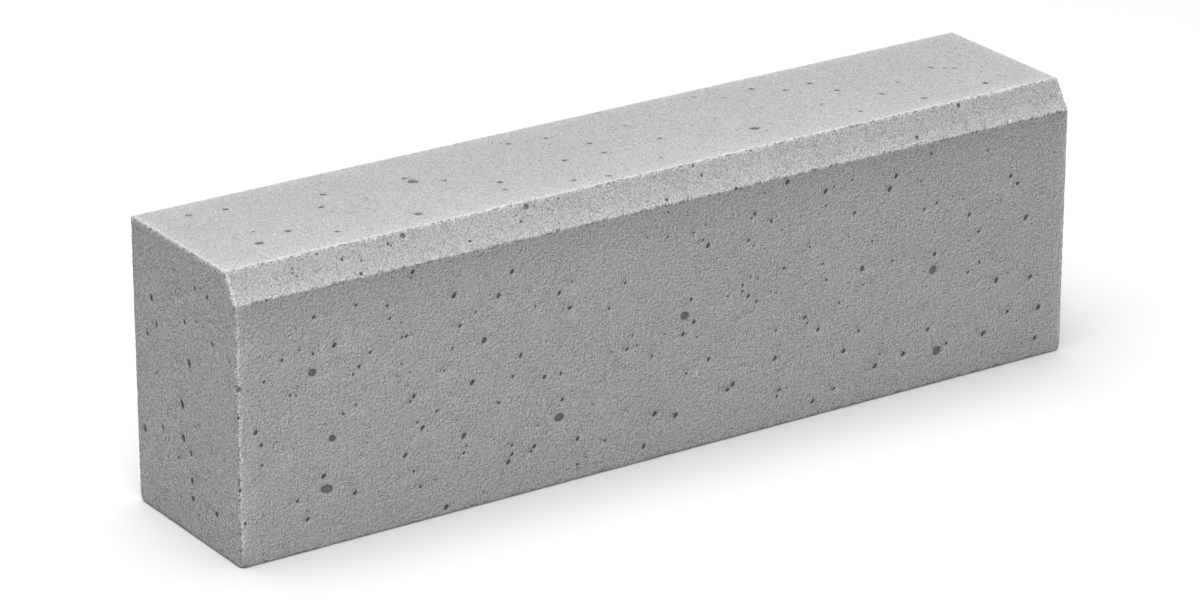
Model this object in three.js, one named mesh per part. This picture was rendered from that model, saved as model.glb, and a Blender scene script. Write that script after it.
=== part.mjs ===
// Concrete kerb stone: a straight road kerb, 100 x 30 x 20 cm, cast as one solid block.
//
// Frame: millimetres. +X runs along the kerb line, -Y looks at the road and +Z is up.
// The origin is the middle of the bed, the face that the stone stands on.
//
// The block is the space that a ball of the arris radius can reach inside the sharp-edged form, so
// every edge is a quarter-pipe or less, tangent to its faces, and every corner is a piece of a sphere.

import * as THREE from "three";
import { LoftGeometry } from "three/addons/geometries/LoftGeometry.js";

// Driving dimensions.
const LENGTH = 1000; // from one joint face to the other
const WIDTH = 200; // from the road face to the back
const HEIGHT = 300; // from the bed to the top
const CHAMFER_WIDTH = 20; // of the splay between the road face and the top, taken off the top
const CHAMFER_HEIGHT = 30; // of the same splay, taken off the road face
const ARRIS_RADIUS = 3; // of every edge and corner of the casting

// Flat facets across the rounding of one arris.
const ARC_STEPS = 8;

const QUARTER_TURN = Math.PI / 2;

// The section with sharp edges, as (y, z), counterclockwise as seen from +X.
function sharpSection() {
  const road = -WIDTH / 2;
  const back = WIDTH / 2;
  return [
    new THREE.Vector2(road, 0),
    new THREE.Vector2(back, 0),
    new THREE.Vector2(back, HEIGHT),
    new THREE.Vector2(road + CHAMFER_WIDTH, HEIGHT),
    new THREE.Vector2(road, HEIGHT - CHAMFER_HEIGHT),
  ];
}

// The outward normal of the face between two neighbouring corners of the section.
function outwardNormal(from, to) {
  const along = to.clone().sub(from).normalize();
  return new THREE.Vector2(along.y, -along.x);
}

// The ball that lies in one corner of the section: its centre, the direction in which it touches the
// face before the corner, and the turn from there to where it touches the face after it.
function ballInCorner(before, corner, after) {
  const firstNormal = outwardNormal(before, corner);
  const lastNormal = outwardNormal(corner, after);
  const cosTurn = firstNormal.dot(lastNormal);
  const towardsBall = firstNormal.clone().add(lastNormal).negate();
  return {
    centre: corner.clone().addScaledVector(towardsBall, ARRIS_RADIUS / (1 + cosTurn)),
    start: firstNormal.angle(),
    turn: Math.acos(cosTurn),
  };
}

function ballsInCorners() {
  const corners = sharpSection();
  const count = corners.length;
  return corners.map((corner, i) =>
    ballInCorner(corners[(i + count - 1) % count], corner, corners[(i + 1) % count]),
  );
}

// The outline of the block in the plane at x, where the balls that shape its corners have this radius.
function outlineAt(x, balls, radius) {
  const outline = [];
  for (const { centre, start, turn } of balls) {
    for (let step = 0; step <= ARC_STEPS; step += 1) {
      const angle = start + (turn * step) / ARC_STEPS;
      const y = centre.x + radius * Math.cos(angle);
      const z = centre.y + radius * Math.sin(angle);
      outline.push(new THREE.Vector3(x, y, z));
    }
  }
  return outline;
}

// The outlines across the rounding at one end, whose balls lie at ballX. The latitude runs over a
// quarter turn: the balls have their full radius at 0, and end in points on the joint face at 90 degrees.
function endOutlines(ballX, firstLatitude, balls) {
  const outlines = [];
  for (let step = 0; step <= ARC_STEPS; step += 1) {
    const latitude = firstLatitude + (QUARTER_TURN * step) / ARC_STEPS;
    const x = ballX + ARRIS_RADIUS * Math.sin(latitude);
    outlines.push(outlineAt(x, balls, ARRIS_RADIUS * Math.cos(latitude)));
  }
  return outlines;
}

function kerbGeometry() {
  const balls = ballsInCorners();
  const ballX = LENGTH / 2 - ARRIS_RADIUS;
  const outlines = [
    ...endOutlines(-ballX, -QUARTER_TURN, balls),
    ...endOutlines(ballX, 0, balls),
  ];
  return new LoftGeometry(outlines, { capStart: true, capEnd: true });
}

function kerbStone() {
  const concrete = new THREE.MeshStandardMaterial({ color: 0xa9a9a8, roughness: 0.9, metalness: 0 });
  const mesh = new THREE.Mesh(kerbGeometry(), concrete);
  mesh.name = "kerb_stone";
  return mesh;
}

const kerb = new THREE.Group();
kerb.add(kerbStone());

export default kerb;
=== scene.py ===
# Looks of the concrete kerb stone. The stone is one casting, so one closed mesh stands for the CAD
# node. Its skin is unrolled flat, meshed finely along the arrises and round the blowholes and coarsely
# in between, rolled up again, and worn back a little, most at the corners of the foot. All lengths are
# in metres.

import math
import random
from collections import namedtuple

import bpy
import numpy as np
from mathutils import Matrix, Vector, noise
from mathutils.geometry import delaunay_2d_cdt


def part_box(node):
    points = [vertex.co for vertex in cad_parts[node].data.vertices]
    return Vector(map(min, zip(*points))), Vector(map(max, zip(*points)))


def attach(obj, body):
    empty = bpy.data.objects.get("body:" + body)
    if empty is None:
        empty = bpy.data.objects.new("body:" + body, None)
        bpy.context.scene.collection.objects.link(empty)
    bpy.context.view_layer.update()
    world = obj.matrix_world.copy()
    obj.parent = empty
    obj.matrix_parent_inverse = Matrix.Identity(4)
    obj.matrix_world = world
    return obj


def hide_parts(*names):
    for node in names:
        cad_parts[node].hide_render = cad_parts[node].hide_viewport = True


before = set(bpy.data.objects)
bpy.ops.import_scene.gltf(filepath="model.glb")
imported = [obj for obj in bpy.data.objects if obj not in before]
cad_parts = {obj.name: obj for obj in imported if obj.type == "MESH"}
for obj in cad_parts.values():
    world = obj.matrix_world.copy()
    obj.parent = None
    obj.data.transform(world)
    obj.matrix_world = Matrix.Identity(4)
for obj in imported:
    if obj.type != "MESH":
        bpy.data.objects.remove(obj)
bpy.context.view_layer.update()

MM = 0.001
STONE = "kerb_stone"
LOW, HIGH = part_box(STONE)

# The splay and the arrises of the casting, as in the CAD.
CHAMFER_WIDTH = 20 * MM
CHAMFER_HEIGHT = 30 * MM
ARRIS_RADIUS = 3 * MM

# The camera of the photograph, whose frame is 1200 x 600 pixels. Its sensor and its lens are in mm.
FRAME_WIDTH = 1200
FRAME_CENTRE = (599.5, 299.5)
CAMERA_AIM = Vector((-0.0003, 0.0294, 0.1248))
CAMERA_DISTANCE = 5.13
CAMERA_AZIMUTH = math.radians(-33.848)
CAMERA_ELEVATION = math.radians(21.699)
CAMERA_ROLL = math.radians(0.04)
CAMERA_SENSOR = 36
CAMERA_LENS = 151.07

# Spacing of the mesh: closest across an arris, and doubled past each of these distances from it. The
# arris of a joint face has this many columns.
ARC_FINE = 1.0 * MM
FINE = 1.8 * MM
WIDER_FROM = (4 * MM, 11 * MM, 30 * MM)
ARC_COLUMNS = 4

QUARTER_TURN = math.pi / 2


# ---------------------------------------------------------------- the section of the casting


def unit(rows):
    return rows / np.linalg.norm(rows, axis=-1, keepdims=True)


def sharp_section():
    """The section's corners before rounding, as (y, z), counterclockwise as seen from +X."""
    return np.array(
        [
            (HIGH.y, LOW.z),
            (HIGH.y, HIGH.z),
            (LOW.y + CHAMFER_WIDTH, HIGH.z),
            (LOW.y, HIGH.z - CHAMFER_HEIGHT),
            (LOW.y, LOW.z),
        ]
    )


# A stretch of the section's outline, flat or an arc. Its normal turns by bend for each metre of it.
# The anchor is where a flat starts, or the centre of an arc.
Stretch = namedtuple("Stretch", "start length anchor angle bend")


def unrolled_section():
    """The outline's stretches in order, from the middle of the bed round to it again."""
    corners = sharp_section()
    along = unit(np.roll(corners, -1, axis=0) - corners)
    after = np.stack([along[:, 1], -along[:, 0]], axis=1)
    before = np.roll(after, 1, axis=0)
    cos_turn = (before * after).sum(axis=1)
    balls = corners - ARRIS_RADIUS * (before + after) / (1 + cos_turn)[:, None]
    stretches = []
    start, place = 0.0, np.array([0.0, LOW.z])
    for ball, first, last, cos in zip(balls, before, after, cos_turn):
        touch = ball + ARRIS_RADIUS * first
        angle = math.atan2(first[1], first[0])
        flat = float(np.linalg.norm(touch - place))
        arc = ARRIS_RADIUS * math.acos(cos)
        stretches.append(Stretch(start, flat, place, angle, 0.0))
        stretches.append(Stretch(start + flat, arc, ball, angle, 1 / ARRIS_RADIUS))
        start += flat + arc
        place = ball + ARRIS_RADIUS * last
    stretches.append(Stretch(start, -float(place[0]), place, -QUARTER_TURN, 0.0))
    return stretches


SECTION = unrolled_section()
BACK, TOP, SPLAY, ROAD = SECTION[2], SECTION[4], SECTION[6], SECTION[8]
GIRTH = SECTION[-1].start + SECTION[-1].length
ARRISES = [t for t in SECTION if t.bend]
ARRIS_MIDDLES = np.array([t.start + t.length / 2 for t in ARRISES])

# The side of each arris on which its pale ridge, of wear and a painted highlight, lies: 1 for the face
# that follows it round the section, and -1 for the one before. That is the higher face, but at the foot
# of the road face it is the bed.
RIDGE_SIDE = np.sign([QUARTER_TURN - t.angle - t.length * t.bend / 2 for t in ARRISES])

# The arris between the splay and the road face is less pale, as if it lay this much further away.
FOOT_OF_SPLAY = SPLAY.start + SPLAY.length
FAINTER = [1.3 * MM if t.start == FOOT_OF_SPLAY else 0.0 for t in ARRISES]

# Along the stone, u is x as far as BALL_U, and goes on round the arris of the joint face to END_U.
BALL_U = HIGH.x - ARRIS_RADIUS
END_U = BALL_U + ARRIS_RADIUS * QUARTER_TURN
JOINT_ARRIS_U = (BALL_U + END_U) / 2

# An arris is palest this far from its middle, and the pale band ends this much sooner beyond it. The
# band of the arris at the front of the top lies lower and reaches further down.
RIDGE_SHIFT = 1.4 * MM
DOWNHILL = 3.5
FRONT_OF_TOP = TOP.start + TOP.length
SHIFT_LONG_ONES = [0.6 * MM if t.start == FRONT_OF_TOP else RIDGE_SHIFT for t in ARRISES]
DOWN_LONG_ONES = [0.8 if t.start == FRONT_OF_TOP else DOWNHILL for t in ARRISES]


def on_section(s):
    """Points of the outline at the distances s, and the outward normals there, as (y, z) rows."""
    which = np.searchsorted([t.start for t in SECTION], s, side="right") - 1
    run = s - np.array([t.start for t in SECTION])[which]
    bend = np.array([t.bend for t in SECTION])[which]
    angle = np.array([t.angle for t in SECTION])[which] + run * bend
    normal = np.stack([np.cos(angle), np.sin(angle)], axis=1)
    tangent = np.stack([-np.sin(angle), np.cos(angle)], axis=1)
    anchor = np.array([t.anchor for t in SECTION])[which]
    on_flat = run * (bend == 0)
    reach = ARRIS_RADIUS * (bend > 0)
    return anchor + tangent * on_flat[:, None] + normal * reach[:, None], normal


def roll_up(u, s):
    """Points of the skin, and its outward normals, at the unrolled places (u, s)."""
    latitude = np.maximum(np.abs(u) - BALL_U, 0) / ARRIS_RADIUS
    outline, normal = on_section(s)
    drawn_in = ARRIS_RADIUS * (1 - np.cos(latitude))
    x = np.sign(u) * (np.minimum(np.abs(u), BALL_U) + ARRIS_RADIUS * np.sin(latitude))
    place = np.column_stack([x, outline - normal * drawn_in[:, None]])
    facing = np.column_stack([np.sign(u) * np.sin(latitude), normal * np.cos(latitude)[:, None]])
    return place, facing


# ---------------------------------------------------------------- the camera, and places in the photo


def camera_axes():
    """The camera's right, up and back directions as the columns of a matrix."""
    back = Vector(
        (
            math.sin(CAMERA_AZIMUTH) * math.cos(CAMERA_ELEVATION),
            -math.cos(CAMERA_AZIMUTH) * math.cos(CAMERA_ELEVATION),
            math.sin(CAMERA_ELEVATION),
        )
    )
    right = Vector((math.cos(CAMERA_AZIMUTH), math.sin(CAMERA_AZIMUTH), 0))
    up = back.cross(right)
    return Matrix((right, up, back)).transposed() @ Matrix.Rotation(CAMERA_ROLL, 3, "Z")


AXES = camera_axes()
CAMERA_PLACE = CAMERA_AIM + AXES.col[2] * CAMERA_DISTANCE


def place_in_photo(pixel, on_plane, normal):
    """Where the sight line through a pixel meets the plane that holds a point and has this normal."""
    focal = CAMERA_LENS / CAMERA_SENSOR * FRAME_WIDTH
    across = (pixel[0] - FRAME_CENTRE[0]) / focal
    down = (pixel[1] - FRAME_CENTRE[1]) / focal
    sight = AXES.col[0] * across - AXES.col[1] * down - AXES.col[2]
    return CAMERA_PLACE + sight * ((on_plane - CAMERA_PLACE).dot(normal) / sight.dot(normal))


def make_camera():
    data = bpy.data.cameras.new("camera")
    data.sensor_fit = "HORIZONTAL"
    data.sensor_width = CAMERA_SENSOR
    data.lens = CAMERA_LENS
    data.clip_end = 100
    camera = bpy.data.objects.new("camera", data)
    camera.matrix_world = Matrix.Translation(CAMERA_PLACE) @ AXES.to_4x4()
    bpy.context.scene.collection.objects.link(camera)
    bpy.context.scene.camera = camera


# ---------------------------------------------------------------- blowholes

# A blowhole: its centre on an unrolled face, its radius and depth, how much shade is painted on its
# floor, the angle of its long axis, how much longer it is than a round one of its area, and the turns of
# its rim's wobble.
Pit = namedtuple("Pit", "u v radius depth dark lean oval turns")

# The blowholes that the photograph shows, as (pixel column, pixel row, width in mm), face by face.
ROAD_PITS = [
    (334, 345, 5), (323.5, 476, 4.5), (707.7, 245.3, 4.5), (702.7, 239.7, 2.5),
    (693.7, 232.3, 2.5), (667.7, 236.7, 2.5), (668, 212, 2), (636.7, 345, 2.5), (632.3, 335.3, 2),
    (413.3, 471, 2.5), (420.3, 486.3, 3), (969, 214.3, 4), (1025.7, 217, 5), (896, 175.7, 4.5),
    (920.7, 181, 2), (852.3, 179.3, 2),
    (255.5, 432.5, 4.5), (261, 445, 3.5), (297, 501, 3), (307.4, 519, 4), (355, 492.5, 4),
    (245, 523.6, 3), (262, 465, 2.5), (281.6, 360, 3), (313.5, 316.6, 3.5), (359, 366, 3.5),
    (355.6, 305, 3), (387, 305.4, 3), (389.5, 318, 3), (343, 413.6, 2.5), (453.8, 295.4, 5),
    (299.3, 349.6, 2), (312.7, 353.3, 2.5), (352.7, 374.2, 2.5), (370, 352, 3), (401.5, 337, 2.5),
    (406, 335.6, 3), (410.4, 401.4, 2.5), (263.8, 381.6, 3), (290, 395, 2.5), (356, 404.6, 2),
    (484, 340, 5.5), (472.2, 382, 5.5), (413.5, 395.8, 4), (463.7, 435.4, 5.5), (422.3, 427.6, 4.5),
    (405.1, 455, 4.5), (446, 507, 5), (691, 299, 3.5),
    (412.6, 271.5, 4), (410.8, 277.8, 2), (511.9, 271.5, 4), (498.6, 295.4, 4), (559, 292.8, 4),
    (569.6, 307.5, 4), (571.6, 281.4, 2), (475.5, 311.9, 2), (459.7, 325.5, 3.5), (520.7, 355.2, 4),
    (452.2, 347.8, 2.5), (443.8, 370.3, 2), (512.5, 376.1, 3), (544.3, 376.7, 4), (560.5, 373.1, 3),
    (498.7, 402.5, 3), (562.1, 399.2, 3.5), (436.5, 410.9, 3), (577.5, 438.5, 4), (605.2, 440.1, 2.5),
    (511.6, 444.9, 3), (534.2, 446, 4), (463.5, 452.7, 3), (466.4, 445.4, 2), (511.9, 453.9, 3.5),
    (508.1, 461.9, 4.5), (531.1, 451.2, 2.5), (612, 351.8, 2), (535.4, 306, 2), (576.9, 464, 2.5),
    (417.3, 421.9, 2), (693.6, 321.7, 4), (682.8, 334, 4), (627, 348.7, 3.5), (625, 282.4, 3),
    (609, 308, 3), (651.7, 355.7, 3), (708.3, 359, 4), (732.7, 384, 5), (727.3, 389.5, 4),
    (774.7, 358, 4.5), (779, 389.5, 3), (776.5, 396, 2.5), (775.6, 330, 2.5), (654.5, 413.5, 5),
    (675.5, 415, 5), (643.5, 446, 4.5), (756, 301, 3), (748, 295.7, 4), (784, 268, 3),
    (750.5, 276.4, 2.5), (685.8, 373, 2.5), (787.4, 181.8, 5), (825.4, 191, 4.5), (833.9, 186.6, 2),
    (889.7, 188.7, 5), (854.4, 212.6, 4), (754.9, 213.2, 3.5), (771.3, 220.9, 3), (751.4, 218, 2),
    (748.6, 239.9, 3), (825.8, 205.3, 2.5), (871.8, 240.8, 2.5), (809.7, 246.5, 2.5), (826.1, 279.5, 2.5),
    (742.3, 285.1, 2.5), (742.2, 291, 3), (863, 284.4, 2), (839.1, 302.5, 2.5), (804.7, 316.9, 3.5),
    (807, 322.7, 2.5), (817.7, 329.3, 4), (858.6, 330.7, 3), (843.4, 350.6, 4.5), (879.6, 353.8, 2),
    (833.8, 388.4, 3), (812.6, 401.1, 4.5), (822.7, 263.5, 2.5), (934.4, 253.7, 4),
    (996, 280, 5), (1030, 276.4, 4.5), (1038, 307, 5.5), (1007, 311, 4),
    (1034.5, 337.6, 4.5), (983, 333, 5.5), (946, 343, 3.5), (927.6, 329, 4),
    (903, 353.6, 5), (874.8, 365.8, 5), (979, 262, 3), (967.6, 272, 3), (978.7, 231, 3),
    (892, 260.7, 2.5), (931, 153, 2.5), (987.6, 150, 2.5), (1010.6, 176, 4), (1017.4, 183, 4),
    (936.6, 202.6, 3), (924, 209, 3),
]

# The largest ones of the road face, each also with the angle of its long axis above the level, in
# degrees, and how much longer it is than a round one of its area.
LARGE_ROAD_PITS = [
    (312, 372.5, 7.8, -22, 1.08), (327, 489, 10.2, -15, 1.27), (559.1, 417.2, 8.9, 2, 1.12),
    (684.8, 315.6, 8.8, -20, 1.11), (933, 269.5, 8.4, -80, 1.02), (936.7, 350.5, 9.1, 59, 1.04),
    (332.3, 438, 6.8, -28, 1.1), (862.2, 268.1, 5.3, 65, 1.08),
]

# Pale spots of the road face, where slurry has dried on the skin.
PALE_SPOTS = [(695.7, 371.7, 9), (971.3, 261, 7), (815, 251.5, 10)]

SPLAY_PITS = [
    (520.7, 220.9, 3), (469.8, 240.6, 3), (387.7, 243.4, 3), (341.6, 258.7, 3.3), (361, 273.5, 3.8),
    (958.5, 105, 5), (916.8, 137.3, 4.6), (516.2, 215.1, 2), (547.3, 199.9, 1.8), (692.7, 165.4, 3),
    (701.3, 174.8, 3.2), (666.7, 199.4, 3.3), (292, 268.4, 2), (292, 272.7, 2.4), (296.8, 275.6, 2),
    (835.1, 133, 1.6), (390.8, 245.3, 2), (533.8, 205.3, 2), (316.7, 253.7, 2),
]
PALER_SPLAY_PITS = [(402.6, 235.1, 5), (526.1, 206.3, 5.5)]

TOP_PITS = [
    (225, 209.4, 5.5), (259, 243, 8), (287.5, 231, 6), (320.7, 207, 6),
    (336.5, 231.6, 5), (253, 231.6, 3), (412.4, 181.4, 11), (404, 178.5, 5.5), (444, 180.4, 5),
    (499.4, 182.3, 6), (504.7, 189.6, 4.5), (418, 213.7, 8), (507.9, 143.8, 5), (546, 138.2, 5),
    (589.5, 143.5, 5), (603.7, 152.5, 5), (563.9, 160.3, 6), (573.3, 180.3, 5.5), (608.4, 175.8, 6),
    (366, 198.4, 2.5), (331.8, 211.4, 2.5), (491.5, 142.9, 2.5), (501.1, 143.1, 2.5), (694.1, 97.2, 4),
    (751.7, 88.9, 6), (785.1, 90.2, 5.5), (809.5, 83.4, 6), (836.6, 90.2, 6), (881.9, 93.8, 6),
    (821, 104.2, 4), (860, 111.4, 3.5), (754.2, 128.1, 10), (766.3, 130.5, 3), (624.7, 125.7, 3.5),
    (659.1, 138.4, 4.5), (660.4, 157.6, 3.5), (715, 118.4, 2.5), (897.6, 82.4, 4), (723.7, 97.9, 2.5),
    (930.4, 67.4, 6), (944.3, 67.7, 3.5), (954, 68, 4), (985, 83, 6.5), (924, 98, 6), (322.8, 194.6, 6),
]
PALER_TOP_PITS = [(188.5, 215.3, 8)]

JOINT_FACE_PITS = [
    (151, 297, 7), (194.6, 288, 5), (207, 297, 4.5), (156.4, 324, 5), (147.4, 333, 5),
    (211.7, 343.6, 5), (189, 363, 7.5), (182, 404, 8), (145, 428, 7), (163, 427, 5),
    (183.4, 438, 7), (191, 453, 5.5), (192, 480.6, 6.5), (193, 498.5, 6), (216.6, 514, 6),
    (184.3, 321.3, 5), (196.2, 321.2, 3.5), (229.1, 361.5, 3), (157, 372, 3), (178.3, 456.7, 3.5),
]

# Those that open on an arris of the road face.
ARRIS_PITS = [
    (236, 390, 5), (235.5, 419, 3.5), (236.6, 492, 3.5), (266.6, 303.6, 3), (736.4, 191.5, 4),
]

# How the listed blowholes of a face show: how many pixels the dark part lies right of the middle and
# below it, how much wider the rim is than the width read, how much shade is painted on the floor, the
# angle of the long axis on the unrolled face, in degrees, and how much longer they are than round ones
# of their area.
Showing = namedtuple("Showing", "offset wider dark lean oval")
ON_ROAD = Showing((0, 0), 1.08, 1.0, -52, 1.18)
ON_SPLAY = Showing((0, 0), 0.97, 0.85, -46, 1.05)
PALER_ON_SPLAY = ON_SPLAY._replace(wider=1.04, dark=0.62)
ON_TOP = Showing((0.1, 0.9), 1.0, 1.15, 34, 1.12)
PALER_ON_TOP = ON_TOP._replace(dark=0.35)
ON_JOINT_FACE = Showing((0.8, -0.1), 1.0, 1.22, 72, 1.14)

# Rings of a blowhole, from outside in, as (share of its radius, share of its depth, painted shade). The
# first lies on the face and keeps it flat. In a blowhole the second is a pale rim, a painted highlight. A
# speck, of a radius under the smallest one's, is too small for a floor.
PIT_RINGS = [
    (1.25, 0.0, 0.0),
    (1.05, 0.05, -0.15),
    (0.97, 0.6, 0.85),
    (0.85, 0.92, 1.05),
    (0.45, 1.0, 0.9),
]
SPECK_RINGS = [(1.5, 0.0, 0.0), (1.1, 0.25, 0.3), (0.65, 0.95, 1.0)]
SMALLEST_PIT = 1.1 * MM
CENTRE_DARKNESS = 0.85

# A ring has a point for each step round it, but no fewer and no more points than these.
RING_STEP = 0.95 * MM
FEWEST_POINTS = 7
MOST_POINTS = 20

# A rim wobbles by these shares of its radius: by the first twice on the way round, by the second thrice.
WOBBLES = (0.06, 0.04)

# The depth is a share of the radius between these, up to the deepest. The angle strays this far either
# way, in radians. The painted shade goes up or down by a factor for each radius.
DEPTH_SHARES = (0.75, 1.05)
DEEPEST = 2.6 * MM
LEAN_STRAYS = 0.2
DARKER_BY_RADIUS = [(1.2 * MM, 1.25), (2.2 * MM, 1.06), (3.3 * MM, 0.92), (5.5 * MM, 0.82)]

# A pale spot is the opposite of dark.
SLURRY_DARKNESS = -0.2

# One on an arris is no deeper than this, so that the mesh doesn't fold, and ends this far from the seam
# round the joint face.
DEEPEST_ON_ARRIS = ARRIS_RADIUS / 3
SEAM_ROOM = 0.1 * MM

# Those at random places: how many are tried, and the radii that they may have.
Scatter = namedtuple("Scatter", "tries smallest largest")
ON_BACK_HALF_OF_BED = Scatter(90, 1.1 * MM, 4.5 * MM)
ON_BACK = Scatter(160, 1.1 * MM, 4.5 * MM)
ON_FAR_JOINT_FACE = Scatter(30, 1.1 * MM, 3.5 * MM)
SPECKS_ON_GIRTH = Scatter(600, 0.5 * MM, 1.0 * MM)
SPECKS_ON_JOINT_FACE = Scatter(60, 0.5 * MM, 1.2 * MM)
SPECKS_ON_FAR_JOINT_FACE = Scatter(60, 0.5 * MM, 1.0 * MM)

# They keep this far from the ends of the range that they may lie in, and are this much longer than round
# ones of their area. The higher the power, the commoner small ones are.
FACE_ROOM = 6 * MM
OVAL = 1.09
SMALL_POWER = 2.2
PIT_SEED = 20


def rings_of(pit):
    return SPECK_RINGS if pit.radius < SMALLEST_PIT else PIT_RINGS


def reach_of(pit):
    """How far a blowhole's rings go from its centre."""
    return pit.radius * rings_of(pit)[0][0] * pit.oval * (1 + sum(WOBBLES))


def make_pit(u, v, radius, dark, lean, oval, draws):
    turns = [draws.uniform(0, 2 * math.pi) for _ in WOBBLES]
    depth = min(radius * draws.uniform(*DEPTH_SHARES), DEEPEST)
    dark *= np.interp(radius, *zip(*DARKER_BY_RADIUS))
    lean += draws.uniform(-LEAN_STRAYS, LEAN_STRAYS)
    return Pit(u, v, radius, depth, dark, lean, oval, turns)


def read_pits(listed, showing, on_plane, normal):
    """The place and radius of each listed blowhole of a plane."""
    for column, row, width, *_ in listed:
        pixel = (column - showing.offset[0], row - showing.offset[1])
        yield place_in_photo(pixel, on_plane, normal), width * MM / 2 * showing.wider


def pits_on_stretch(stretch, listed, showing, draws):
    """The listed blowholes of a flat stretch of the section, at their unrolled places."""
    normal = Vector((0, math.cos(stretch.angle), math.sin(stretch.angle)))
    along = Vector((0, -normal.z, normal.y))
    anchor = Vector((0, *stretch.anchor))
    lean = math.radians(showing.lean)
    pits = []
    for place, radius in read_pits(listed, showing, anchor, normal):
        s = stretch.start + (place - anchor).dot(along)
        pits.append(make_pit(place.x, s, radius, showing.dark, lean, showing.oval, draws))
    return pits


def large_pits(listed, draws):
    """The listed large blowholes of the road face, smooth ellipses that each lie in their own way."""
    pits = pits_on_stretch(ROAD, listed, ON_ROAD, draws)
    return [
        pit._replace(lean=-math.radians(angle), oval=oval, turns=())
        for pit, (*_, angle, oval) in zip(pits, listed)
    ]


def pale_spots(listed, draws):
    """The listed pale spots of the road face, as blowholes with no depth and a pale floor."""
    pits = pits_on_stretch(ROAD, listed, ON_ROAD, draws)
    return [pit._replace(depth=0.0, dark=SLURRY_DARKNESS) for pit in pits]


def pits_on_arrises(listed, draws):
    """The listed blowholes that open on an arris, each moved onto the nearest one and kept shallow."""
    pits = []
    for place, radius in read_pits(listed, ON_ROAD, LOW, Vector((0, -1, 0))):
        s = ROAD.start + ROAD.anchor[1] - place.z
        pit = make_pit(place.x, s, radius, ON_ROAD.dark, 0.0, OVAL, draws)
        pit = pit._replace(depth=min(pit.depth, DEEPEST_ON_ARRIS))
        to_long_ones = np.abs(ARRIS_MIDDLES - s)
        if to_long_ones.min() < abs(abs(place.x) - JOINT_ARRIS_U):
            pits.append(pit._replace(v=ARRIS_MIDDLES[to_long_ones.argmin()]))
        else:
            u = min(JOINT_ARRIS_U, END_U - reach_of(pit) - SEAM_ROOM)
            pits.append(pit._replace(u=math.copysign(u, place.x)))
    return pits


def pits_on_joint_face(listed, draws):
    """The listed blowholes of the joint face at -X, as (y, z) places."""
    showing = ON_JOINT_FACE
    lean = math.radians(showing.lean)
    pits = []
    for place, radius in read_pits(listed, showing, Vector((LOW.x, 0, 0)), Vector((-1, 0, 0))):
        pits.append(make_pit(place.y, place.z, radius, showing.dark, lean, showing.oval, draws))
    return pits


def scatter(pits, amount, allowed, draws):
    """Adds blowholes at random places that are allowed and clear of the others."""
    centres = [(p.u, p.v) for p in pits]
    reaches = [reach_of(p) for p in pits]
    tries, smallest, largest = amount
    added = []
    for _ in range(tries):
        radius = smallest * (largest / smallest) ** (draws.random() ** SMALL_POWER)
        u, v = allowed(draws)
        pit = make_pit(u, v, radius, 1.0, draws.uniform(0, math.pi), OVAL, draws)
        reach = reach_of(pit)
        away = np.hypot(*(np.array(centres).reshape(-1, 2) - (u, v)).T)
        if np.all(away > np.array(reaches) + reach):
            added.append(pit)
            centres.append((u, v))
            reaches.append(reach)
    return pits + added


# ---------------------------------------------------------------- meshing an unrolled face


def rim(pit, angle):
    """The radius of a blowhole's rim at this angle, as a share of its middle one."""
    across = angle - pit.lean
    oval = 1 / math.hypot(math.cos(across) / pit.oval, math.sin(across) * pit.oval)
    waves = enumerate(zip(WOBBLES, pit.turns), start=2)
    return oval * (1 + sum(size * math.sin(number * angle + turn) for number, (size, turn) in waves))


def pit_points(pit):
    """The points of a blowhole's rings and its centre, as rows of (u, v, depth, darkness)."""
    count = round(2 * math.pi * pit.radius / RING_STEP)
    count = max(FEWEST_POINTS, min(MOST_POINTS, count))
    rows = [(pit.u, pit.v, pit.depth, CENTRE_DARKNESS * pit.dark)]
    for number, (share, depth, dark) in enumerate(rings_of(pit)):
        for step in range(count):
            angle = 2 * math.pi * (step + number % 2 / 2) / count
            reach = pit.radius * share * rim(pit, angle)
            at = (pit.u + reach * math.cos(angle), pit.v + reach * math.sin(angle))
            rows.append((*at, depth * pit.depth, dark * pit.dark))
    return np.array(rows)


# An unrolled face that has been meshed. depth is how far each point lies below the face, and dark how
# much shade is painted there, or, below 0, how pale a painted highlight or a slurry spot is.
Sheet = namedtuple("Sheet", "points triangles depth dark")

# The room between a blowhole and the points round it, and between an edge and the points inside it.
PIT_ROOM = 0.5 * MM
EDGE_ROOM = 0.7 * FINE

# The triangulation keeps what lies inside the outline, and takes points this near for one.
INSIDE_ONLY = 1
SAME_POINT = 1e-9

# A triangle smaller than this joins three points of a straight side, and has no inside. A side shorter
# than this has shrunk to a corner.
SLIVER = 0.001 * MM * MM
SHORTEST_SIDE = 0.01 * MM


def thinned(columns, rows, distance):
    """Which crossings of a fine grid are kept, so that it is wider far from an arris."""
    every = 2 ** np.searchsorted(WIDER_FROM, distance)
    return (columns % every == 0) & (rows % every == 0)


def clear_of_pits(points, pits):
    """Which points lie outside every blowhole, with some room."""
    kept = np.ones(len(points), bool)
    for pit in pits:
        away = np.hypot(points[:, 0] - pit.u, points[:, 1] - pit.v)
        kept &= away >= reach_of(pit) + PIT_ROOM
    return kept


def area_of(corners):
    """The areas of flat triangles."""
    first, second = corners[:, 1] - corners[:, 0], corners[:, 2] - corners[:, 0]
    return np.abs(first[:, 0] * second[:, 1] - first[:, 1] * second[:, 0]) / 2


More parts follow.
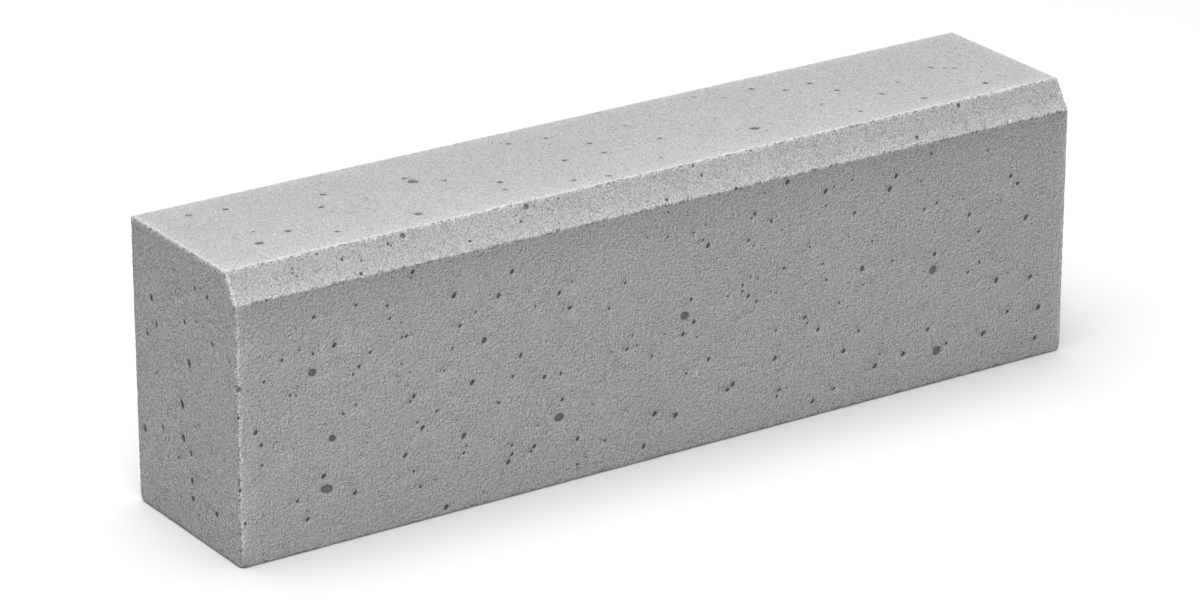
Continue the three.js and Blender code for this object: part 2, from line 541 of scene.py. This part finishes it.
def mesh_sheet(boundary, inner, pits):
    """Triangulates a flat face inside its boundary, with the rings of its blowholes."""
    flat = np.concatenate([boundary, inner[clear_of_pits(inner, pits)]])
    flat = np.column_stack([flat, np.zeros((len(flat), 2))])
    rows = np.concatenate([flat] + [pit_points(p) for p in pits])
    points, depth, dark = rows[:, :2], rows[:, 2], rows[:, 3]
    corners = [Vector(p) for p in points]
    outline = list(range(len(boundary)))
    made = delaunay_2d_cdt(corners, [], [outline], INSIDE_ONLY, SAME_POINT, True)
    _, _, faces, sources, _, _ = made
    source = np.array([ids[0] for ids in sources])
    triangles = source[np.array([f for f in faces if len(f) == 3])]
    return Sheet(points, triangles[area_of(points[triangles]) > SLIVER], depth, dark)


def section_rows():
    """The distances s of the fine grid's rows, closer on the arcs, and each one's number on its flat."""
    places, numbers = [], []
    for stretch in SECTION:
        steps = round(stretch.length / (ARC_FINE if stretch.bend else FINE))
        places.append(stretch.start + stretch.length * np.arange(steps) / steps)
        numbers.append(np.arange(steps) if stretch.bend == 0 else np.zeros(steps, int))
    places.append([GIRTH])
    numbers.append([0])
    return np.concatenate(places), np.concatenate(numbers).astype(int)


def length_columns():
    """The places u of the fine grid's columns, and each one's number."""
    arc = np.linspace(BALL_U, END_U, ARC_COLUMNS + 1)[1:]
    widest = 2 ** len(WIDER_FROM)
    steps = widest * round(2 * BALL_U / FINE / widest)
    straight = np.linspace(-BALL_U, BALL_U, steps + 1)
    places = np.concatenate([-arc[::-1], straight, arc])
    on_arc = np.zeros(ARC_COLUMNS, int)
    numbers = np.concatenate([on_arc, np.arange(steps + 1), on_arc])
    return places, numbers


def from_arris(u, s):
    """The distance along the skin to the middle of the nearest arris."""
    across = np.abs(s[:, None] - ARRIS_MIDDLES).min(axis=1)
    return np.minimum(across, np.abs(np.abs(u) - JOINT_ARRIS_U))


def fading(distance, downhill):
    """The distance from a ridge, counted this many times on its far side, where it is negative."""
    return np.where(distance > 0, distance, -distance * downhill)


def from_ridge(u, s):
    """How far each place lies from where its arris is palest, which is a little to one side of it, and
    away from a joint face. The far side counts for more, as the pale band ends sooner there."""
    aside = (s[:, None] - ARRIS_MIDDLES) * RIDGE_SIDE - SHIFT_LONG_ONES
    inward = JOINT_ARRIS_U - RIDGE_SHIFT - np.abs(u)
    from_long_ones = (fading(aside, DOWN_LONG_ONES) + FAINTER).min(axis=1)
    return np.minimum(from_long_ones, fading(inward, DOWNHILL))


def mesh_girth(pits):
    """The unrolled skin from joint face to joint face: the four long faces, the splay and all arrises."""
    s, rows = section_rows()
    u, columns = length_columns()
    grid_u, grid_s = (g.ravel() for g in np.meshgrid(u, s))
    grid_columns, grid_rows = (g.ravel() for g in np.meshgrid(columns, rows))
    points = np.column_stack([grid_u, grid_s])
    edge = (np.abs(grid_u) == END_U) | (grid_s == 0) | (grid_s == GIRTH)
    distance = from_arris(grid_u, grid_s) - ARRIS_RADIUS * QUARTER_TURN / 2
    kept = thinned(grid_columns, grid_rows, distance)
    seam = u[kept.reshape(len(s), len(u))[0]]
    boundary = np.concatenate(
        [
            np.column_stack([seam, np.zeros(len(seam))]),
            np.column_stack([np.full(len(s) - 1, END_U), s[1:]]),
            np.column_stack([seam[::-1][1:], np.full(len(seam) - 1, GIRTH)]),
            np.column_stack([np.full(len(s) - 2, -END_U), s[::-1][1:-1]]),
        ]
    )
    return mesh_sheet(boundary, points[kept & ~edge], pits)


def joint_face_outline():
    """The flat part of a joint face: its outline in (y, z), where each arc has shrunk to one corner."""
    s, _ = section_rows()
    place, _ = roll_up(np.full(len(s), END_U), s)
    outline = place[:-1, 1:]
    moved = np.linalg.norm(outline - np.roll(outline, 1, axis=0), axis=1)
    return outline[moved > SHORTEST_SIDE]


def depth_inside(points, outline):
    """The distance of points inside a convex outline from its nearest side."""
    following = np.roll(outline, -1, axis=0)
    along = unit(following - outline)
    inward = np.stack([-along[:, 1], along[:, 0]], axis=1)
    return ((points[:, None, :] - outline[None]) * inward[None]).sum(axis=2).min(axis=1)


def mesh_joint_face(pits):
    outline = joint_face_outline()
    columns = np.arange(math.ceil(np.ptp(outline[:, 0]) / FINE))
    rows = np.arange(math.ceil(np.ptp(outline[:, 1]) / FINE))
    grid_columns, grid_rows = (g.ravel() for g in np.meshgrid(columns, rows))
    points = outline.min(axis=0) + np.column_stack([grid_columns, grid_rows]) * FINE
    inside = depth_inside(points, outline)
    kept = (inside > EDGE_ROOM) & thinned(grid_columns, grid_rows, inside)
    return mesh_sheet(outline, points[kept], pits)


# ---------------------------------------------------------------- the worn skin, and its painted light and shade

# The waves of the mould: their depth and their width.
WAVE_DEPTH = 0.08 * MM
WAVE_WIDTH = 70 * MM

# An arris is worn this many mm everywhere, and about this many more in rough places and in gaps. Noise
# of this width says where those are: rough places above the first level and gaps above the second. The
# wear ends this far from the arris.
ARRIS_WEAR = 0.1
ROUGH_WEAR = 0.35
GAP_WEAR = 0.35
ROUGH_WIDTH = 5 * MM
GAP_WIDTH = 13 * MM
ROUGH_LEVEL = -0.15
GAP_LEVEL = 0.25
ARRIS_REACH = 6 * MM

# A corner of the foot is worn this deep, and its wear ends this far from it.
CORNER_WEAR = 2 * MM
CORNER_REACH = 12 * MM

# Chips of the arrises: how many, the share that lies on the long ones, how far each lies from the middle
# of its arris and how wide it is, in mm, and its depth as a share of its width.
CHIP_COUNT = 900
CHIPS_ON_LONG_ONES = 0.7
CHIP_ASIDE = (-0.6, 1.6)
CHIP_WIDTH = (1.3, 2.7)
CHIP_DEPTH = 0.3
CHIP_SEED = 7

# Beyond this distance from a pale ridge nothing of it shows, in mm.
RIDGE_END = 20.0


def noise_at(places, size, shift):
    """Smooth noise from about -1 to 1, with features of this size. Each shift gives another noise."""
    offset = Vector((shift, shift * 1.7, shift * 2.3))
    return np.array([noise.noise(Vector(p) / size + offset) for p in places])


def wear(place, to_arris):
    """How far the skin has gone back: slight waves of the mould, more along the arrises, and most at the
    corners of the foot."""
    waves = WAVE_DEPTH * (1 + noise_at(place, WAVE_WIDTH, shift=3.1))
    on_arris = np.clip(1 - to_arris / ARRIS_REACH, 0, 1)
    rough = np.maximum(noise_at(place, ROUGH_WIDTH, shift=11.7) - ROUGH_LEVEL, 0) ** 1.5
    gaps = np.maximum(noise_at(place, GAP_WIDTH, shift=23.9) - GAP_LEVEL, 0) * 2
    x, y, z = place.T
    to_corner = np.sqrt((np.abs(x) - HIGH.x) ** 2 + (np.abs(y) - HIGH.y) ** 2 + (z - LOW.z) ** 2)
    at_corner = CORNER_WEAR * np.clip(1 - to_corner / CORNER_REACH, 0, 1) ** 2
    return waves + at_corner + on_arris * MM * (ARRIS_WEAR + ROUGH_WEAR * rough + GAP_WEAR * gaps)


# A piece of the skin before the blowholes are sunk. dark is how much shade is painted in them, ridge
# the distance from a pale ridge, and tone the light and shade painted on the skin, as how much paler
# than usual it is.
Skin = namedtuple("Skin", "place facing depth dark ridge tone triangles")


def girth_painted_light(s):
    """Painted light and shade: paler towards the front of the top and the foot of the splay, and darker
    below either arris.
    """
    road_end = ROAD.start + ROAD.length
    knots = [
        (TOP.start, 0.0),
        (FRONT_OF_TOP - 100 * MM, 0.0),
        (FRONT_OF_TOP - 40 * MM, 0.04),
        (FRONT_OF_TOP, 0.1),
        (SPLAY.start, -0.09),
        (SPLAY.start + 10 * MM, 0.0),
        (FOOT_OF_SPLAY, 0.14),
        (ROAD.start, -0.17),
        (ROAD.start + 5 * MM, -0.16),
        (ROAD.start + 12 * MM, -0.11),
        (ROAD.start + 45 * MM, -0.02),
        (ROAD.start + 90 * MM, 0.0),
        (road_end, 0.0),
    ]
    return np.interp(s, *zip(*knots))


def joint_face_painted_shade(y, z):
    """Painted shade: darker along the top, the back and the front of a joint face, and a little at its
    foot.
    """
    from_top = np.interp(HIGH.z - z, [0.0, 12 * MM, 90 * MM], [-0.09, -0.055, 0.04])
    from_back = np.interp(HIGH.y - y, [0.0, 30 * MM], [-0.04, 0.0])
    from_front = np.interp(y - LOW.y, [0.0, 15 * MM], [-0.05, 0.0])
    from_bed = np.interp(z - LOW.z, [0.0, 60 * MM], [-0.02, 0.0])
    return from_top + from_back + from_front + from_bed


def girth_skin(pits):
    sheet = mesh_girth(pits)
    u, s = sheet.points.T
    place, facing = roll_up(u, s)
    depth = sheet.depth + wear(place, from_arris(u, s))
    triangles = sheet.triangles[:, ::-1]
    return Skin(place, facing, depth, sheet.dark, from_ridge(u, s), girth_painted_light(s), triangles)


def joint_face_skin(side, pits):
    """The joint face at +X or -X, for a side of 1 or -1."""
    sheet = mesh_joint_face(pits)
    count = len(sheet.points)
    place = np.column_stack([np.full(count, side * HIGH.x), sheet.points])
    facing = np.tile((float(side), 0.0, 0.0), (count, 1))
    triangles = sheet.triangles if side > 0 else sheet.triangles[:, ::-1]
    to_arris = depth_inside(sheet.points, joint_face_outline()) + END_U - JOINT_ARRIS_U
    depth = sheet.depth + wear(place, to_arris)
    to_ridge = DOWNHILL * (to_arris + RIDGE_SHIFT)
    tone = joint_face_painted_shade(*sheet.points.T)
    return Skin(place, facing, depth, sheet.dark, to_ridge, tone, triangles)


def joined(skins):
    """Sews the skins together where their points meet."""
    starts = np.cumsum([0] + [len(skin.place) for skin in skins[:-1]])
    triangles = np.concatenate([skin.triangles + start for skin, start in zip(skins, starts)])
    place = np.concatenate([skin.place for skin in skins])
    _, first, same = np.unique(np.round(place / MM, 3), axis=0, return_index=True, return_inverse=True)
    triangles = same.reshape(-1)[triangles]
    a, b, c = triangles.T
    triangles = triangles[(a != b) & (b != c) & (c != a)]
    return Skin(*(np.concatenate(rows)[first] for rows in list(zip(*skins))[:-1]), triangles)


def make_chips(draws):
    """Small chips at random places along all arrises, mostly on the side away from the pale ridge."""
    chips = []
    for _ in range(CHIP_COUNT):
        aside = draws.uniform(*CHIP_ASIDE) * MM
        if draws.random() < CHIPS_ON_LONG_ONES:
            arris = draws.randrange(len(ARRISES))
            u = draws.uniform(-BALL_U, BALL_U)
            s = ARRIS_MIDDLES[arris] - RIDGE_SIDE[arris] * aside
        else:
            u = draws.choice((-1, 1)) * (JOINT_ARRIS_U + aside)
            s = draws.uniform(0, GIRTH)
        place, _ = roll_up(np.array([u]), np.array([s]))
        chips.append((place[0], draws.uniform(*CHIP_WIDTH) * MM))
    return chips


def chipped(place, chips):
    """How deep each point lies in a chip of an arris, as a share of its depth, and the depth there. A
    chip is flat as far as half its half width, and runs out at one and a half times that width."""
    share = np.zeros(len(place))
    depth = np.zeros(len(place))
    for heart, width in chips:
        away = np.linalg.norm(place - heart, axis=1) / (width / 2)
        bowl = np.clip(1.5 - away, 0, 1)
        share = np.maximum(share, bowl)
        depth = np.maximum(depth, bowl * width * CHIP_DEPTH)
    return share, depth


def make_stone(skins, chips):
    skin = joined(skins)
    chip, chip_depth = chipped(skin.place, chips)
    # The shade painted in the blowholes, and in each chip by how deep a point lies in it.
    cavity = np.where(chip > 0, np.maximum(skin.dark, chip), skin.dark)
    place = skin.place - skin.facing * (skin.depth + chip_depth)[:, None]
    ridge_mm = np.minimum(skin.ridge / MM, RIDGE_END)
    mesh = bpy.data.meshes.new("kerb_casting")
    mesh.from_pydata(place.tolist(), [], skin.triangles.tolist())
    mesh.shade_smooth()
    # The last attribute carries the light and shade painted on the skin.
    for name, values in (("cavity", cavity), ("ridge_mm", ridge_mm), ("painted_light", skin.tone)):
        attribute = mesh.attributes.new(name, "FLOAT", "POINT")
        attribute.data.foreach_set("value", values.astype(np.float32))
    stone = bpy.data.objects.new("kerb_casting", mesh)
    bpy.context.scene.collection.objects.link(stone)
    return stone


def on_girth(low_s, high_s):
    """A chooser of random places between two distances round the section."""

    def choose(draws):
        u = draws.uniform(-BALL_U + FACE_ROOM, BALL_U - FACE_ROOM)
        return u, draws.uniform(low_s + FACE_ROOM, high_s - FACE_ROOM)

    return choose


def on_joint_face(draws):
    """A random place on a joint face, away from its arrises."""
    outline = joint_face_outline()
    (low_y, low_z), (high_y, high_z) = outline.min(axis=0), outline.max(axis=0)
    while True:
        place = (draws.uniform(low_y, high_y), draws.uniform(low_z, high_z))
        if depth_inside(np.array([place]), outline)[0] > FACE_ROOM:
            return place


def shown_pits(draws):
    """The blowholes of the long faces and their arrises that the photograph shows."""
    shown = pits_on_stretch(ROAD, ROAD_PITS, ON_ROAD, draws)
    shown += large_pits(LARGE_ROAD_PITS, draws)
    shown += pale_spots(PALE_SPOTS, draws)
    shown += pits_on_stretch(SPLAY, SPLAY_PITS, ON_SPLAY, draws)
    shown += pits_on_stretch(SPLAY, PALER_SPLAY_PITS, PALER_ON_SPLAY, draws)
    shown += pits_on_stretch(TOP, TOP_PITS, ON_TOP, draws)
    shown += pits_on_stretch(TOP, PALER_TOP_PITS, PALER_ON_TOP, draws)
    return shown + pits_on_arrises(ARRIS_PITS, draws)


def all_skins(draws):
    """The skin from joint face to joint face and those of both joint faces, with all blowholes."""
    girth = scatter(shown_pits(draws), ON_BACK_HALF_OF_BED, on_girth(0, BACK.start), draws)
    girth = scatter(girth, ON_BACK, on_girth(BACK.start, TOP.start), draws)
    girth = scatter(girth, SPECKS_ON_GIRTH, on_girth(0, GIRTH), draws)
    near_end = pits_on_joint_face(JOINT_FACE_PITS, draws)
    near_end = scatter(near_end, SPECKS_ON_JOINT_FACE, on_joint_face, draws)
    far_end = scatter([], ON_FAR_JOINT_FACE, on_joint_face, draws)
    far_end = scatter(far_end, SPECKS_ON_FAR_JOINT_FACE, on_joint_face, draws)
    return [girth_skin(girth), joint_face_skin(-1, near_end), joint_face_skin(1, far_end)]


# ---------------------------------------------------------------- concrete

# Two tones of cement grey that drift into each other over the faces.
WARM_GREY = (0.318, 0.318, 0.317, 1)
COOL_GREY = (0.315, 0.315, 0.318, 1)
ROUGHNESS = 0.9

# The grain is drawn out this way, from the settling of the mix, by taking this share off the distances
# along it.
DRAWN = Vector((0.62, 0.0, 0.78))
DRAWN_BY = 0.4

# The width of a grain of sand. Grains this far apart on the road face differ more than chance would have
# it, by this share, as in an embossed skin: a painted light and shade of relief lit from one side.
GRAIN = 0.7 * MM
BESIDE = (-1.6 * MM, 0.0, 1.5 * MM)
PAINTED_RELIEF_SHARE = 0.3

# How much darker or paler a grain may be, and how far it may tilt. Both are this many times as strong on
# the top and on a joint face as on the road face, and lose this share of their strength in a cavity.
GRAIN_SHADE = 0.92
GRAIN_TILT = 0.8
GRAIN_ON_TOP = 0.74
GRAIN_ON_JOINT_FACE = 1.55
GRAIN_LOST_IN_CAVITY = 0.7

# The pinholes' pattern: the width of its cells, the share of them that has one, and the widest and the
# narrowest pinhole as a share of the cell.
PINHOLE_CELL = 2.6 * MM
PINHOLE_SHARE = 0.35
PINHOLE_WIDTHS = (0.28, 0.12)

# How much shade is painted in a pinhole and in a cavity.
PINHOLE_PAINTED_SHADE = 0.6
CAVITY_PAINTED_SHADE = 0.7

# A worn arris is this much paler in a narrow band, from wear and a painted highlight, which ends between
# these distances from the ridge in mm, and this much more in a wide one. Near the bed, below these
# heights, both fade out.
RIDGE_WEAR_AND_HIGHLIGHT = 0.28
RIDGE_BAND = (0.8, 2.8)
WIDE_WEAR_AND_HIGHLIGHT = 0.08
FADES_BY_BED = (5 * MM, 25 * MM)

# The width of lumps too small to model, how deep they look, and the pinholes' depth as a share of that.
LUMP = 3.0 * MM
LUMP_DEPTH = 0.55 * MM
PINHOLE_DEPTH = 0.6


class Shader:
    """Short calls for building the node tree of a material."""

    def __init__(self, name):
        self.material = bpy.data.materials.new(name)
        self.material.use_nodes = True
        self.tree = self.material.node_tree
        self.tree.nodes.clear()

    def node(self, kind, inputs, output=0, **settings):
        """Adds a node, with these settings and inputs, and returns one of its outputs."""
        node = self.tree.nodes.new(kind)
        for name, value in settings.items():
            setattr(node, name, value)
        for name, value in inputs.items():
            if isinstance(value, bpy.types.NodeSocket):
                self.tree.links.new(value, node.inputs[name])
            else:
                node.inputs[name].default_value = value
        return node.outputs[output]

    def math(self, operation, a, b):
        return self.node("ShaderNodeMath", {0: a, 1: b}, operation=operation)

    def times(self, a, b):
        return self.math("MULTIPLY", a, b)

    def plus(self, a, b):
        return self.math("ADD", a, b)

    def part(self, vector, axis):
        """One coordinate of a vector."""
        return self.node("ShaderNodeSeparateXYZ", {"Vector": vector}, output=axis)

    def faded(self, tone, share, mask):
        """The tone, less this share of it where the mask is 1."""
        return self.times(tone, self.math("SUBTRACT", 1.0, self.times(mask, share)))

    def noise(self, place, size, detail, roughness=0.5):
        inputs = {"Vector": place, "Scale": 1 / size, "Detail": detail, "Roughness": roughness}
        return self.node("ShaderNodeTexNoise", inputs)

    def spread(self, value, low, high, to_low=0.0, to_high=1.0):
        """Maps low..high to to_low..to_high along a smooth step."""
        inputs = {"Value": value, "From Min": low, "From Max": high, "To Min": to_low, "To Max": to_high}
        return self.node("ShaderNodeMapRange", inputs, interpolation_type="SMOOTHSTEP")

    def vector_math(self, operation, a, b):
        return self.node("ShaderNodeVectorMath", {0: a, 1: b}, operation=operation)

    def scaled(self, vector, scale):
        return self.node("ShaderNodeVectorMath", {"Vector": vector, "Scale": scale}, operation="SCALE")

    def cells(self, place, size, output):
        """The cells of an irregular pattern: a random Color for each, or the Distance to its heart."""
        inputs = {"Vector": place, "Scale": 1 / size, "Randomness": 1.0}
        return self.node("ShaderNodeTexVoronoi", inputs, output=output)

    def attribute(self, name):
        return self.node("ShaderNodeAttribute", {}, output="Fac", attribute_name=name)

    def mixed(self, share, a, b):
        return self.node("ShaderNodeMix", {0: share, 6: a, 7: b}, output=2, data_type="RGBA")

    def made(self, surface):
        """Ends the tree with this surface, and returns the material."""
        end = self.tree.nodes.new("ShaderNodeOutputMaterial")
        self.tree.links.new(surface, end.inputs["Surface"])
        return self.material


def pinholes(sh, drawn):
    """Holes too small to model: the hearts of some cells of a pattern, as a mask."""
    choice = sh.cells(drawn, PINHOLE_CELL, "Color")
    width = sh.spread(choice, 0.0, PINHOLE_SHARE, *PINHOLE_WIDTHS)
    heart = sh.math("LESS_THAN", sh.cells(drawn, PINHOLE_CELL, "Distance"), width)
    return sh.times(heart, sh.math("LESS_THAN", choice, PINHOLE_SHARE))


def drawn_out(sh, place):
    """The place for patterns that are drawn out, with distances made shorter along that way."""
    along = sh.node("ShaderNodeVectorMath", {0: place, 1: DRAWN}, output="Value", operation="DOT_PRODUCT")
    return sh.vector_math("SUBTRACT", place, sh.scaled(DRAWN, sh.times(along, DRAWN_BY)))


def grains(sh, drawn):
    """A random vector for each grain of sand, from -0.5 to 0.5 along each axis."""
    return sh.vector_math("SUBTRACT", sh.cells(drawn, GRAIN, "Color"), (0.5, 0.5, 0.5))


def grain_and_painted_relief(sh, drawn, sand):
    """How much darker each grain is than the concrete, less a share of the grain beside it, which paints
    the light and shade of an embossed skin.
    """
    beside = grains(sh, sh.vector_math("ADD", drawn, BESIDE))
    return sh.part(sh.vector_math("SUBTRACT", sand, sh.scaled(beside, PAINTED_RELIEF_SHARE)), "X")


def grain_strength(sh, place, normal, cavity):
    """How strongly the grain shows, which also differs from patch to patch."""
    upward = sh.part(normal, "Z")
    endward = sh.math("ABSOLUTE", sh.part(normal, "X"), 0)
    strength = sh.spread(sh.noise(place, 12 * MM, 3), 0.35, 0.6, 0.7, 1.0)
    strength = sh.times(strength, sh.spread(upward, 0.0, 1.0, 1.0, GRAIN_ON_TOP))
    strength = sh.times(strength, sh.spread(endward, 0.0, 1.0, 1.0, GRAIN_ON_JOINT_FACE))
    return sh.faded(strength, GRAIN_LOST_IN_CAVITY, cavity)


def worn_and_highlit_ridges(sh, place, shade):
    """How much paler the arrises are, from wear and a painted highlight, in bands that a noise and the
    grain make ragged.
    """
    to_ridge = sh.attribute("ridge_mm")
    ragged = sh.times(sh.plus(sh.noise(place, 2 * MM, 3, 0.6), -0.5), 6.0)
    ragged = sh.plus(ragged, sh.times(shade, 3.0))
    narrow = sh.spread(sh.plus(to_ridge, ragged), *RIDGE_BAND, RIDGE_WEAR_AND_HIGHLIGHT, 0.0)
    wide = sh.spread(to_ridge, 0.0, RIDGE_END, WIDE_WEAR_AND_HIGHLIGHT, 0.0)
    return sh.times(sh.plus(narrow, wide), sh.spread(sh.part(place, "Z"), *FADES_BY_BED))


def clouds(sh, place):
    """Slight changes of tone over the faces, broad and less broad."""
    return sh.times(
        sh.spread(sh.noise(place, 120 * MM, 3), 0.3, 0.7, 0.98, 1.02),
        sh.spread(sh.noise(place, 16 * MM, 3), 0.3, 0.7, 0.99, 1.01),
    )


def grey(sh, place):
    """The colour before its tone, which drifts between the two greys."""
    drift = sh.spread(sh.noise(place, 30 * MM, 2), 0.35, 0.65)
    return sh.mixed(drift, WARM_GREY, COOL_GREY)


def concrete():
    sh = Shader("concrete")
    place = sh.node("ShaderNodeTexCoord", {}, output="Object")
    normal = sh.node("ShaderNodeNewGeometry", {}, output="Normal")
    cavity = sh.attribute("cavity")
    drawn = drawn_out(sh, place)
    sand = grains(sh, drawn)
    # The grain's own tone, with the painted light and shade of an embossed relief.
    shade = grain_and_painted_relief(sh, drawn, sand)
    strength = grain_strength(sh, place, normal, cavity)
    pinhole = pinholes(sh, drawn)

    # The light and shade painted on the skin, over slight clouds of tone.
    tone = sh.times(clouds(sh, place), sh.plus(sh.attribute("painted_light"), 1.0))
    tone = sh.faded(tone, sh.times(shade, GRAIN_SHADE), strength)
    # Painted shade in the pinholes, and in the blowholes and chips.
    tone = sh.faded(tone, PINHOLE_PAINTED_SHADE, pinhole)
    tone = sh.faded(tone, CAVITY_PAINTED_SHADE, cavity)
    # The arrises paler from wear and a painted highlight.
    tone = sh.faded(tone, -1.0, worn_and_highlit_ridges(sh, place, shade))
    colour = sh.scaled(grey(sh, place), tone)

    tilted = sh.vector_math("ADD", normal, sh.scaled(sand, sh.times(strength, GRAIN_TILT)))
    lumps = sh.plus(sh.noise(place, LUMP, 3), sh.times(pinhole, -PINHOLE_DEPTH))
    bump = {"Height": lumps, "Strength": 1.0, "Distance": LUMP_DEPTH, "Normal": tilted}
    relief = sh.node("ShaderNodeBump", bump)

    surface = {"Base Color": colour, "Roughness": ROUGHNESS, "Specular IOR Level": 0.3, "Normal": relief}
    return sh.made(sh.node("ShaderNodeBsdfPrincipled", surface))


# ---------------------------------------------------------------- floor and light

FLOOR_GREY = (0.68, 0.68, 0.68, 1)
FLOOR_ROUGHNESS = 0.9
FLOOR_HALF = 30

# The light from all round, and the softboxes, which aim at the origin. Their size is in m and their
# power in W.
ALL_ROUND = 0.27
Softbox = namedtuple("Softbox", "name place size power")
SOFTBOXES = [
    Softbox("overhead", (-0.5, 0.4, 6.0), (8, 6.5), 627),
    Softbox("front left", (-1.6, -3.4, 3.0), (2, 2), 77),
]


def floor_material():
    sh = Shader("floor")
    surface = {"Base Color": FLOOR_GREY, "Roughness": FLOOR_ROUGHNESS}
    return sh.made(sh.node("ShaderNodeBsdfPrincipled", surface))


def make_floor():
    half = FLOOR_HALF
    mesh = bpy.data.meshes.new("floor")
    corners = [(-half, -half, LOW.z), (half, -half, LOW.z), (half, half, LOW.z), (-half, half, LOW.z)]
    mesh.from_pydata(corners, [], [(0, 1, 2, 3)])
    mesh.materials.append(floor_material())
    floor = bpy.data.objects.new("floor", mesh)
    bpy.context.scene.collection.objects.link(floor)


def make_softbox(box):
    data = bpy.data.lights.new(box.name, "AREA")
    data.shape = "RECTANGLE"
    data.size, data.size_y = box.size
    data.energy = box.power
    light = bpy.data.objects.new(box.name, data)
    turned = (-Vector(box.place)).to_track_quat("-Z", "Y").to_matrix().to_4x4()
    light.matrix_world = Matrix.Translation(box.place) @ turned
    bpy.context.scene.collection.objects.link(light)


def make_world():
    world = bpy.data.worlds.new("studio")
    world.use_nodes = True
    background = world.node_tree.nodes["Background"]
    background.inputs["Color"].default_value = (1, 1, 1, 1)
    background.inputs["Strength"].default_value = ALL_ROUND
    bpy.context.scene.world = world


# ---------------------------------------------------------------- the piece

make_camera()
make_floor()
make_world()
for softbox in SOFTBOXES:
    make_softbox(softbox)
bpy.context.scene.view_settings.view_transform = "Standard"

stone = make_stone(all_skins(random.Random(PIT_SEED)), make_chips(random.Random(CHIP_SEED)))
stone.data.materials.append(concrete())
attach(stone, "root")
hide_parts(STONE)
